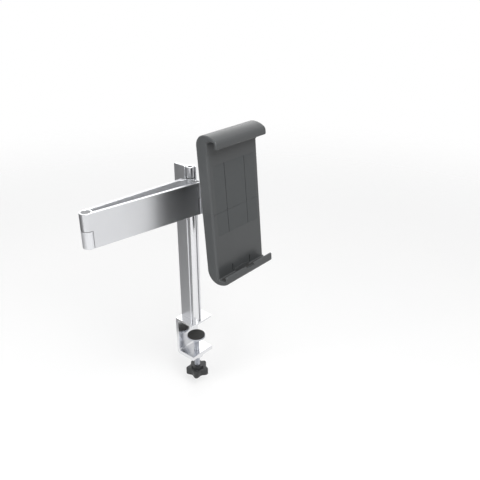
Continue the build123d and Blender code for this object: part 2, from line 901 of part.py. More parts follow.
def cover_seat(gap):
    """The space of the mechanism's cover, with a gap round it."""
    half = carrier_half - cover_margin + gap
    low = -carrier_bottom + cover_margin / 2 - gap
    high = carrier_top - cover_margin / 2 + gap
    return block(-half, half, low, high, cover_back, carrier_front + (1 if gap else 0))


def cover_screw_spots():
    """Where the cover's four screws go."""
    x = pocket_half - cover_screw_inset
    high = carrier_top - carrier_end_wall - cover_screw_inset
    low = -carrier_bottom + carrier_end_wall + cover_screw_inset
    return [(-x, low), (x, low), (x, high), (-x, high)]


def carrier_cover():
    """The plate over the mechanism, which shows between the open jaws."""
    body = cover_seat(0)
    corners = body.edges().filter_by(Axis.Z)
    body = fillet(corners, 1)
    for spot in cover_screw_spots():
        body -= disc(cover_screw_radius + fit, cover_back - 1, 1, spot)
        sink = cover_screw_head - cover_screw_radius
        body -= cone(cover_screw_radius, cover_screw_head, carrier_front - sink, carrier_front, spot)
    body -= disc(pinion_pin_radius + fit, cover_back - 1, 1)
    body -= disc(pinion_pin_head + fit, carrier_front - pinion_pin_head_height, 1)
    return holder_frame * body


def cover_screws():
    """The four countersunk screws of the cover."""
    screws = []
    sink = cover_screw_head - cover_screw_radius
    for spot in cover_screw_spots():
        low = cover_back - cover_screw_length + 1
        neck = carrier_front - sink
        body = disc(cover_screw_radius, low, neck, spot)
        body += cone(cover_screw_radius - fit, cover_screw_head - fit, neck, carrier_front, spot)
        recess = slab(Pos(*spot) * RegularPolygon(1.1, 6), carrier_front - 0.8, carrier_front + 1)
        screws.append(holder_frame * (body - recess))
    return screws


def involute_point(base, angle, side, turn):
    """A point on a tooth's flank, where the involute has unrolled by an angle."""
    radius = base * sqrt(1 + angle**2)
    swept = angle - atan2(angle, 1)
    return polar_point(radius, turn + side * degrees(-swept))


def pinion():
    """The pinion that makes both jaws move alike, with the spring's hub behind it."""
    base = pitch_radius * cos(radians(pressure_angle))
    tip = pitch_radius + addendum * module
    root = pitch_radius - dedendum * module
    pressure = radians(pressure_angle)
    involute = tan(pressure) - pressure
    half_tooth = (tooth_pitch - backlash) / 4 / pitch_radius
    half_angle = degrees(half_tooth + involute)
    unroll = sqrt((tip / base) ** 2 - 1)
    step = 360 / pinion_teeth
    edges = []
    for tooth in range(pinion_teeth):
        turn = tooth * step
        low_side = turn - half_angle
        high_side = turn + half_angle
        low = [involute_point(base, unroll * share, -1, low_side) for share in (0, 0.55, 1)]
        high = [involute_point(base, unroll * share, 1, high_side) for share in (1, 0.55, 0)]
        edges.append(Line(polar_point(root, low_side), low[0]))
        edges.append(ThreePointArc(*low))
        edges.append(ThreePointArc(low[2], polar_point(tip, turn), high[0]))
        edges.append(ThreePointArc(*high))
        edges.append(Line(high[2], polar_point(root, high_side)))
        valley = polar_point(root, turn + step / 2)
        edges.append(ThreePointArc(polar_point(root, high_side), valley, polar_point(root, turn + step - half_angle)))
    body = slab(outline(edges), rack_rear, rack_front)
    body += disc(pinion_hub_radius, rack_rear - pinion_hub_height, rack_rear + 1)
    body -= disc(pinion_pin_radius + fit, rack_rear - pinion_hub_height - 1, rack_front + 1)
    return holder_frame * body


def pinion_pin():
    """The pin that the pinion turns on, held in the cover."""
    low = rack_rear - pinion_hub_height + 0.3
    body = disc(pinion_pin_radius, low, carrier_front - 0.5)
    body += disc(pinion_pin_head, carrier_front - pinion_pin_head_height, carrier_front - 0.1)
    return holder_frame * body


def rack(side):
    """A toothed rack on one side of the pinion: 1 for the upper jaw, -1 for the lower."""
    tail = (upper_cavity if side > 0 else lower_cavity) + rack_tail - fit
    free_end = -(jaw_travel + rack_overrun)
    tip_line = rack_pitch_line - addendum * module
    root_line = rack_pitch_line + dedendum * module
    slope = tan(radians(pressure_angle))
    half = (tooth_pitch - backlash) / 4
    tip_half = half - addendum * module * slope
    root_half = half + dedendum * module * slope
    count = int((-free_end - 1) / tooth_pitch)
    points = [(rack_outer, tail), (rack_outer, free_end), (root_line, free_end)]
    for tooth in range(-count, 3):
        middle = (tooth + 0.5) * tooth_pitch
        points.append((root_line, middle - root_half))
        points.append((tip_line, middle - tip_half))
        points.append((tip_line, middle + tip_half))
        points.append((root_line, middle + root_half))
    points.append((root_line, tail))
    face = make_face(Polyline(*points, close=True))
    if side < 0:
        face = Rot(0, 0, 180) * face
    body = slab(face, rack_rear, rack_front)
    body -= disc(rack_screw_radius + fit, rack_rear - 1, rack_front + 1, rack_screw_spot(side))
    return holder_frame * body


def rack_screw_spot(side):
    """Where the screw through a rack's tail goes."""
    x = rack_pitch_line + dedendum * module + rack_back / 2
    end = upper_cavity if side > 0 else lower_cavity
    return (side * x, side * (end + rack_tail / 2))


def rack_socket(side):
    """The socket in a jaw for the rack's tail, and the hole for its screw."""
    root_line = rack_pitch_line + dedendum * module
    end = upper_cavity if side > 0 else lower_cavity
    xs = sorted((side * (root_line - fit), side * (rack_outer + fit)))
    ys = sorted((side * (end - 1), side * (end + rack_tail)))
    space = block(*xs, *ys, rack_rear - fit, rack_front + fit)
    spot = rack_screw_spot(side)
    head_seat = rack_rear - 1.2
    space += disc(rack_screw_radius + fit, head_seat - 1, rack_rear, spot)
    return space + disc(rack_screw_head + fit, back - 1, head_seat, spot)


def rack_screw(side):
    """The screw from a jaw's back into its rack."""
    spot = rack_screw_spot(side)
    head_seat = rack_rear - 1.2
    body = disc(rack_screw_head, head_seat - 1.8, head_seat, spot)
    body += disc(rack_screw_radius, head_seat - 1, rack_front - 0.3, spot)
    recess = slab(Pos(*spot) * RegularPolygon(1.2, 6), head_seat - 3, head_seat - 0.8)
    return holder_frame * (body - recess)


def return_spring():
    """The spiral spring round the pinion's hub, from half turns that grow evenly."""
    low = rack_rear - pinion_hub_height + 0.3
    far = 2 * guide_inner
    band = None
    for half_turn in range(spring_half_turns):
        odd = half_turn % 2
        radius = spring_inner + half_turn * spring_step
        ring = Circle(radius + spring_band / 2) - Circle(radius - spring_band / 2)
        ring = Pos(odd * spring_step, 0) * ring
        window = Pos(0, (-1 if odd else 1) * far / 2) * Rectangle(2 * far, far)
        piece = ring & window
        band = piece if band is None else band + piece
    return holder_frame * slab(band, low, low + spring_width)


# All the pieces by name

def nodes():
    """Every node's solids, by the node's name."""
    elbow = (elbow_x, elbow_y)
    wrist = (wrist_x, wrist_y)
    depths = [rod_screw_depth, fin_screw_depth, fin_screw_depth]
    screws = [foot_screw(r, spot, depth) for (r, spot), depth in zip(foot_screws(), depths)]
    return {
        "clamp_bracket": clamp_bracket(),
        "desk_pad": desk_pad(),
        "post_profile": post_profile(),
        "post_screws": screws,
        "spacer_rod": spacer_rod(),
        "thrust_washers": thrust_washers(),
        "stop_bush": stop_bush(),
        "stop_screw": stop_screw(),
        "pressure_plate": pressure_plate(),
        "pressure_pad": pressure_pad(),
        "clamp_spindle": clamp_spindle(),
        "clamp_knob": clamp_knob(),
        "rear_arm": rear_arm(),
        "front_arm": front_arm(),
        "elbow_pin": hinge_pin(elbow_pin_radius, elbow),
        "elbow_washer": hinge_washer(elbow_radius, elbow_pin_radius, elbow),
        "wrist_link": wrist_link(),
        "wrist_pin": hinge_pin(wrist_pin_radius, wrist),
        "wrist_washer": hinge_washer(wrist_radius, wrist_pin_radius, wrist),
        "tilt_head": tilt_head(),
        "tilt_washers": tilt_washers(),
        "tilt_bolt": tilt_bolt(),
        "tilt_nut": tilt_nut(),
        "friction_ring": friction_ring(),
        "pivot_screw": pivot_screw(),
        "carrier_tray": carrier_tray(),
        "carrier_cover": carrier_cover(),
        "cover_screws": cover_screws(),
        "pinion": pinion(),
        "pinion_pin": pinion_pin(),
        "return_spring": return_spring(),
        "upper_jaw": holder_frame * upper_jaw(),
        "upper_rack": rack(1),
        "upper_rack_screw": rack_screw(1),
        "upper_face_pads": face_pads(seam / 2, upper_pad_end),
        "upper_hook_liner": hook_liner(),
        "lower_jaw": holder_frame * lower_jaw(),
        "lower_rack": rack(-1),
        "lower_rack_screw": rack_screw(-1),
        "lower_face_pads": face_pads(-lower_pad_end, -seam / 2),
        "lower_ledge_liner": ledge_liner(),
    }


def main():
    """Write one file for each node."""
    os.makedirs("parts", exist_ok=True)
    for name, shape in nodes().items():
        solids = shape if isinstance(shape, list) else [shape]
        solids = [solid for piece in solids for solid in piece.solids()]
        export_step(Compound(children=solids), f"parts/{name}.step")


main()
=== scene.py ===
"""Looks of the tablet clamp mount: its finishes, its finest pieces and the studio round it.

Everything is in metres, in the part's own frame: +X along the edge that the clamp grips, +Y out
over that edge, +Z up.
"""

import json
import logging
import math
from collections.abc import Iterable, Mapping
from dataclasses import dataclass, field
from enum import Enum

import bmesh
import bpy
from mathutils import Matrix, Vector

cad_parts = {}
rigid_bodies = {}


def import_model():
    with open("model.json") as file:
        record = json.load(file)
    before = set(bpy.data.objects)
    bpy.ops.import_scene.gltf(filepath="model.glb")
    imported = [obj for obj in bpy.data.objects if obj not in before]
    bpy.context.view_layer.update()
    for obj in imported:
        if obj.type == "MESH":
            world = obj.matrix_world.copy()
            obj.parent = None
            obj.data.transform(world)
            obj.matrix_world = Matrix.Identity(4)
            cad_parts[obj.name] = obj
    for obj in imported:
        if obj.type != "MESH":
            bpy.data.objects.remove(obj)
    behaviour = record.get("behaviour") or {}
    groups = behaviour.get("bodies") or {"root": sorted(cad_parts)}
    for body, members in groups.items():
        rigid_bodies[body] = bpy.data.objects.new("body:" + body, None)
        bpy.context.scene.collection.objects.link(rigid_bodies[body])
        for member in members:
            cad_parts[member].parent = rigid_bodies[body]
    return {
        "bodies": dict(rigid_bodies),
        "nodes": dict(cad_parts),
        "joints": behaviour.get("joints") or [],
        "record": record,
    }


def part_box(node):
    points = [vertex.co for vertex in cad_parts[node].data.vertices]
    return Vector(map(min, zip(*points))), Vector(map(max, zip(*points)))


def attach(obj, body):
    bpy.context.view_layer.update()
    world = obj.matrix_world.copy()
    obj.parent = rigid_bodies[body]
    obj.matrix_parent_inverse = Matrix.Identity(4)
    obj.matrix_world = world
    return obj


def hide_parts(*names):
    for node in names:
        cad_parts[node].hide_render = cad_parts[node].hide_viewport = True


LOG = logging.getLogger("tablet_mount")
Frame = dict[str, object]

MM = 0.001
UP = (0, 0, 1)
WHITE = (1.0, 1.0, 1.0, 1.0)

# Two points closer than the first are one, and an edge that rises less than the second is level.
SAME_POINT = 1e-6
LEVEL = 1e-7
# A face lies flat when its normal is this upright, and a crease turns sharp at this angle.
FLAT = 0.99
SHARP_ANGLE = math.radians(35)

# How many octaves a noise has where it is broad and where it is fine.
BROAD_DETAIL = 2.0
FINE_DETAIL = 3.0
# The part of a noise's range that it nearly always stays in.
NOISE_SPAN = (0.1, 0.9)
# A Mix node set to colour has its sockets after those for numbers, so they go by place.
MIX_SHARE, MIX_FIRST, MIX_SECOND, MIX_RESULT = 0, 6, 7, 2


class Slot(Enum):
    """The record's material slots."""

    SATIN_ALUMINIUM = "satin_aluminium"
    POLISHED_ALUMINIUM = "polished_aluminium"
    ANTHRACITE_PLASTIC = "anthracite_plastic"
    SOFT_TOUCH = "anthracite_soft_touch"
    BLACK_PLASTIC = "black_plastic"
    DARK_POLYMER = "dark_polymer"
    GREY_POLYMER = "grey_polymer"
    WHITE_POLYMER = "white_polymer"
    BLACK_RUBBER = "black_rubber"
    ZINC_STEEL = "zinc_steel"
    BLACK_STEEL = "black_steel"
    SPRING_STEEL = "spring_steel"


class Facing(Enum):
    """Which way a face, the end of a thread or a liner's ribs look."""

    UP = 1.0
    DOWN = -1.0


def linear(code: str) -> tuple[float, float, float, float]:
    """Turn an sRGB hex colour to linear light.

    Args:
        code: six hex digits after a hash sign.

    Returns:
        Red, green, blue and an alpha of 1.
    """
    channels = [int(code[i : i + 2], 16) / 255 for i in (1, 3, 5)]
    light = [c / 12.92 if c <= 0.04045 else ((c + 0.055) / 1.055) ** 2.4 for c in channels]
    return (light[0], light[1], light[2], 1.0)


def per_metre(size_mm: float) -> float:
    """Give the texture scale at which one feature has a real size in millimetres."""
    return 1 / (size_mm * MM)


def clear_tree(owner: bpy.types.Material | bpy.types.World) -> bpy.types.NodeTree:
    """Switch a material or a world to nodes and empty them.

    Args:
        owner: the material or world.

    Returns:
        Its empty node tree.
    """
    owner.use_nodes = True
    owner.node_tree.nodes.clear()
    return owner.node_tree


def add_node(
    tree: bpy.types.NodeTree,
    kind: str,
    sockets: Mapping[str | int, object] | None = None,
    **settings: object,
) -> bpy.types.Node:
    """Add a node, set it up and link what feeds it.

    Args:
        tree: the node tree that gets the node.
        kind: the node's type.
        sockets: for each input, by name or place, its constant or the output that feeds it.
        settings: the node's own properties.

    Returns:
        The new node.
    """
    node = tree.nodes.new(kind)
    for name, value in settings.items():
        setattr(node, name, value)
    for name, value in (sockets or {}).items():
        if isinstance(value, bpy.types.NodeSocket):
            tree.links.new(value, node.inputs[name])
        else:
            node.inputs[name].default_value = value
    return node


@dataclass(frozen=True)
class Finish:
    """A material: its tones, its gloss and the fine relief of its surface.

    Attributes:
        slot: the record's slot that it dresses.
        name: what the real one is, and how its surface was made.
        tone: the main colour.
        cast: the colour that it drifts to in broad patches.
        gloss: the least and greatest roughness.
        grain_mm: the size of the relief's grain.
        depth_mm: the height of the relief.
        patch_mm: the size of the patches of colour.
        smudge_mm: the size of the patches in the gloss.
        metallic: 1 for bare metal.
        ior: the index of refraction, left at the default for metal.
    """

    slot: Slot
    name: str
    tone: str
    cast: str
    gloss: tuple[float, float]
    grain_mm: float
    depth_mm: float
    patch_mm: float = 25.0
    smudge_mm: float = 9.0
    metallic: float = 0.0
    ior: float = 1.5

    def lay(self, tree: bpy.types.NodeTree, place: bpy.types.NodeSocket) -> bpy.types.NodeSocket:
        """Give the coordinates in which the grain lies; a plain finish has no direction."""
        return place

    def relief(
        self, tree: bpy.types.NodeTree, place: bpy.types.NodeSocket
    ) -> bpy.types.NodeSocket:
        """Make the height pattern of the surface.

        Args:
            tree: the material's nodes.
            place: the Object coordinates.

        Returns:
            The height from 0 to 1.
        """
        grain = add_node(
            tree,
            "ShaderNodeTexNoise",
            {
                "Vector": self.lay(tree, place),
                "Scale": per_metre(self.grain_mm),
                "Detail": FINE_DETAIL,
            },
        )
        return grain.outputs["Fac"]

    def make(self) -> bpy.types.Material:
        """Build the material.

        Returns:
            The material with its nodes.
        """
        material = bpy.data.materials.new(self.name)
        tree = clear_tree(material)
        place = add_node(tree, "ShaderNodeTexCoord").outputs["Object"]
        patches = add_node(
            tree,
            "ShaderNodeTexNoise",
            {"Vector": place, "Scale": per_metre(self.patch_mm), "Detail": BROAD_DETAIL},
        )
        tone = add_node(
            tree,
            "ShaderNodeMix",
            {
                MIX_SHARE: patches.outputs["Fac"],
                MIX_FIRST: linear(self.tone),
                MIX_SECOND: linear(self.cast),
            },
            data_type="RGBA",
        )
        smudges = add_node(
            tree,
            "ShaderNodeTexNoise",
            {
                "Vector": self.lay(tree, place),
                "Scale": per_metre(self.smudge_mm),
                "Detail": FINE_DETAIL,
            },
        )
        gloss = add_node(
            tree,
            "ShaderNodeMapRange",
            {
                "Value": smudges.outputs["Fac"],
                "From Min": NOISE_SPAN[0],
                "From Max": NOISE_SPAN[1],
                "To Min": self.gloss[0],
                "To Max": self.gloss[1],
            },
        )
        bump = add_node(
            tree,
            "ShaderNodeBump",
            {"Height": self.relief(tree, place), "Distance": self.depth_mm * MM},
        )
        shader = add_node(
            tree,
            "ShaderNodeBsdfPrincipled",
            {
                "Base Color": tone.outputs[MIX_RESULT],
                "Roughness": gloss.outputs["Result"],
                "Metallic": self.metallic,
                "IOR": self.ior,
                "Normal": bump.outputs["Normal"],
            },
        )
        add_node(tree, "ShaderNodeOutputMaterial", {"Surface": shader.outputs["BSDF"]})
        return material


@dataclass(frozen=True)
class DrawnFinish(Finish):
    """A finish with lines along one axis, from a die, a roll or a brush.

    Attributes:
        stretch: how much the grain is squeezed along each axis; the lines run where it is least.
    """

    stretch: tuple[float, float, float] = (1.0, 1.0, 0.01)

    def lay(self, tree: bpy.types.NodeTree, place: bpy.types.NodeSocket) -> bpy.types.NodeSocket:
        """Draw the grain out into lines along one axis."""
        drawn = add_node(tree, "ShaderNodeMapping", {"Vector": place, "Scale": self.stretch})
        return drawn.outputs["Vector"]


@dataclass(frozen=True)
class ErodedFinish(Finish):
    """A moulding whose tool was spark-eroded, so that it is covered in tiny rounded pits."""

    def relief(
        self, tree: bpy.types.NodeTree, place: bpy.types.NodeSocket
    ) -> bpy.types.NodeSocket:
        """Make the height pattern of rounded pits.

        Args:
            tree: the material's nodes.
            place: the Object coordinates.

        Returns:
            The height from 0 to 1.
        """
        sockets = {"Vector": place, "Scale": per_metre(self.grain_mm)}
        pits = add_node(tree, "ShaderNodeTexVoronoi", sockets, feature="SMOOTH_F1")
        return pits.outputs["Distance"]


# The rear arm is brushed up and down before it is anodised, so its mirror image is a blur
# where the front arm's is clear. Its tone is painted lighter than the front arm's, as painted
# light on its inner face, which lies in shade between the arms.
BRUSHED_ARM_PAINTED_LIGHTER = DrawnFinish(
    Slot.SATIN_ALUMINIUM,
    "anodised_aluminium_brushed_painted_lighter",
    "#E6E7E9",
    "#E0E1E4",
    gloss=(0.52, 0.58),
    grain_mm=0.7,
    depth_mm=0.005,
    metallic=1.0,
)

FINISHES: tuple[Finish, ...] = (
    # Die lines run up every extrusion, under a satin anodised coat that blurs what it mirrors.
    # They are finer than a pixel, so they are drawn 0.7 mm apart.
    DrawnFinish(
        Slot.SATIN_ALUMINIUM,
        "anodised_aluminium_extruded",
        "#DADBDD",
        "#D4D5D8",
        gloss=(0.28, 0.34),
        grain_mm=0.7,
        depth_mm=0.006,
        metallic=1.0,
    ),
    # Polished after sawing: a bright face with faint straight marks along X.
    DrawnFinish(
        Slot.POLISHED_ALUMINIUM,
        "aluminium_polished",
        "#E6E6E8",
        "#E1E2E4",
        gloss=(0.18, 0.23),
        grain_mm=0.8,
        depth_mm=0.003,
        metallic=1.0,
        stretch=(0.02, 1.0, 1.0),
    ),
    # A dull, even dark grey whose grain takes the shine off its edges. Drawn at 0.8 mm to show.
    ErodedFinish(
        Slot.ANTHRACITE_PLASTIC,
        "abs_spark_eroded",
        "#4D4F50",
        "#484A4B",
        gloss=(0.33, 0.39),
        grain_mm=0.8,
        depth_mm=0.007,
    ),
    # A thin soft coat over the pads: the same grey, with less shine and a finer grain.
    Finish(
        Slot.SOFT_TOUCH,
        "soft_touch_coated",
        "#4E5051",
        "#4A4D4E",
        gloss=(0.5, 0.58),
        grain_mm=0.5,
        depth_mm=0.004,
        ior=1.46,
    ),
    # Glass-filled nylon: black, with a coarse grain that is kind to the hand.
    ErodedFinish(
        Slot.BLACK_PLASTIC,
        "nylon_moulded",
        "#2A2B2C",
        "#242526",
        gloss=(0.42, 0.55),
        grain_mm=1.0,
        depth_mm=0.03,
        ior=1.53,
    ),
    # Washers of acetal, turned, with a faint sheen.
    Finish(
        Slot.DARK_POLYMER,
        "acetal_black_turned",
        "#323334",
        "#2B2C2D",
        gloss=(0.3, 0.42),
        grain_mm=0.6,
        depth_mm=0.01,
        ior=1.48,
    ),
    # Acetal rod sawn to length, which shows a cloudy grey end.
    Finish(
        Slot.GREY_POLYMER,
        "acetal_grey_sawn",
        "#8E8F91",
        "#848587",
        gloss=(0.45, 0.6),
        grain_mm=0.6,
        depth_mm=0.015,
        ior=1.48,
    ),
    # Natural acetal: milky white, turned to a silky face.
    Finish(
        Slot.WHITE_POLYMER,
        "acetal_natural_turned",
        "#DEDEDC",
        "#D4D4D1",
        gloss=(0.34, 0.46),
        grain_mm=0.6,
        depth_mm=0.01,
        ior=1.48,
    ),
    # Moulded rubber, dull and slightly dusty.
    Finish(
        Slot.BLACK_RUBBER,
        "rubber_moulded",
        "#2C2C2C",
        "#343433",
        gloss=(0.7, 0.86),
        grain_mm=0.7,
        depth_mm=0.03,
        ior=1.52,
    ),
    # Bright zinc plate with its faint bluish cast.
    Finish(
        Slot.ZINC_STEEL,
        "steel_zinc_plated",
        "#C4C6CB",
        "#BABDC4",
        gloss=(0.24, 0.36),
        grain_mm=0.9,
        depth_mm=0.006,
        patch_mm=6.0,
        metallic=1.0,
    ),
    # Black oxide is a thin skin on the steel, so it keeps a dark metal's gleam.
    Finish(
        Slot.BLACK_STEEL,
        "steel_black_oxide",
        "#3A3A3C",
        "#313133",
        gloss=(0.34, 0.48),
        grain_mm=0.7,
        depth_mm=0.008,
        patch_mm=6.0,
        metallic=1.0,
    ),
    # Blued strip, rolled: a grey-blue gleam with faint upright lines.
    DrawnFinish(
        Slot.SPRING_STEEL,
        "spring_steel_rolled",
        "#7C808A",
        "#6D7079",
        gloss=(0.26, 0.36),
        grain_mm=0.5,
        depth_mm=0.004,
        metallic=1.0,
    ),
)


@dataclass
class Workshop:
    """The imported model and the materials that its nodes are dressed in.

    Attributes:
        materials: the finished materials by slot.
    """

    frame: Frame
    materials: dict[Slot, bpy.types.Material] = field(default_factory=dict)

    def mix(self, finishes: Iterable[Finish]) -> None:
        """Make every material once."""
        for finish in finishes:
            self.materials[finish.slot] = finish.make()

    def cover(self, name: str, material: bpy.types.Material) -> None:
        """Give one CAD node a material all over.

        Args:
            name: the node.
            material: what it is made of.
        """
        node = self.frame["nodes"][name]
        if not node.material_slots:
            node.data.materials.append(None)
        for held in node.material_slots:
            held.material = material
        LOG.info("%s is %s", name, material.name)

    def paint(self, names: Iterable[str]) -> None:
        """Give each CAD node the material of its slot in the record.

        Args:
            names: the nodes.
        """
        subparts = self.frame["record"]["subparts"]
        slots = {part["node"]: Slot(part["material_slot"]) for part in subparts}
        for name in names:
            self.cover(name, self.materials[slots[name]])

    def add_piece(
        self,
        name: str,
        mesh: bmesh.types.BMesh,
        slot: Slot,
        body: str,
        replaced: Iterable[str] = (),
    ) -> bpy.types.Object:
        """Turn a finished bmesh to a piece that rides on a body.

        Args:
            name: the piece's name.
            mesh: its shape, already in place; it is freed here.
            slot: the material slot that it takes its finish from.
            body: the CAD body that carries it.
            replaced: the CAD nodes that it stands for.

        Returns:
            The new object.
        """
        bmesh.ops.recalc_face_normals(mesh, faces=mesh.faces[:])
        data = bpy.data.meshes.new(name)
        mesh.to_mesh(data)
        mesh.free()
        data.shade_smooth()
        data.set_sharp_from_angle(angle=SHARP_ANGLE)
        piece = bpy.data.objects.new(name, data)
        bpy.context.scene.collection.objects.link(piece)
        data.materials.append(self.materials[slot])
        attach(piece, body)
        if replaced:
            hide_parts(*replaced)
        LOG.info("built %s", name)
        return piece

    def joint(self, name: str) -> Mapping[str, object]:
        """Find a joint of the record by its name."""
        return next(joint for joint in self.frame["joints"] if joint["name"] == name)


def merge(mesh: bmesh.types.BMesh) -> None:
    """Join the points of a mesh that lie on one another."""
    bmesh.ops.remove_doubles(mesh, verts=mesh.verts[:], dist=SAME_POINT)


def open_edges(mesh: bmesh.types.BMesh) -> list[bmesh.types.BMEdge]:
    """List the edges that only one face uses."""
    return [edge for edge in mesh.edges if edge.is_boundary]


def largest_flat(mesh: bmesh.types.BMesh, facing: Facing) -> bmesh.types.BMFace:
    """Find the largest face that lies flat.

    Args:
        mesh: the shape, with its normals outwards.
        facing: whether the face looks up or down.

    Returns:
        The face.
    """
    flat = (face for face in mesh.faces if face.normal.z * facing.value > FLAT)
    return max(flat, key=lambda face: face.calc_area())


def soften(
    mesh: bmesh.types.BMesh, edges: Iterable[bmesh.types.BMEdge], width: float, steps: int
) -> None:
    """Round some edges.

    Args:
        mesh: the shape.
        edges: what is rounded.
        width: how far the round reaches from each edge.
        steps: how many facets it has.
    """
    bmesh.ops.bevel(
        mesh,
        geom=list(edges),
        offset=width,
        affect="EDGES",
        segments=steps,
        profile=0.5,
        material=-1,
        clamp_overlap=True,
    )


@dataclass
class Assembly:
    """Pieces of the mount that are dressed and built together.

    Attributes:
        nodes: the CAD nodes that belong to it.
    """

    nodes: tuple[str, ...] = ()

    def dress(self, shop: Workshop) -> None:
        """Dress the CAD nodes in the finishes of their slots."""
        shop.paint(self.nodes)

    def build(self, shop: Workshop) -> None:
        """Build the pieces that the CAD keeps plain, where there are any."""


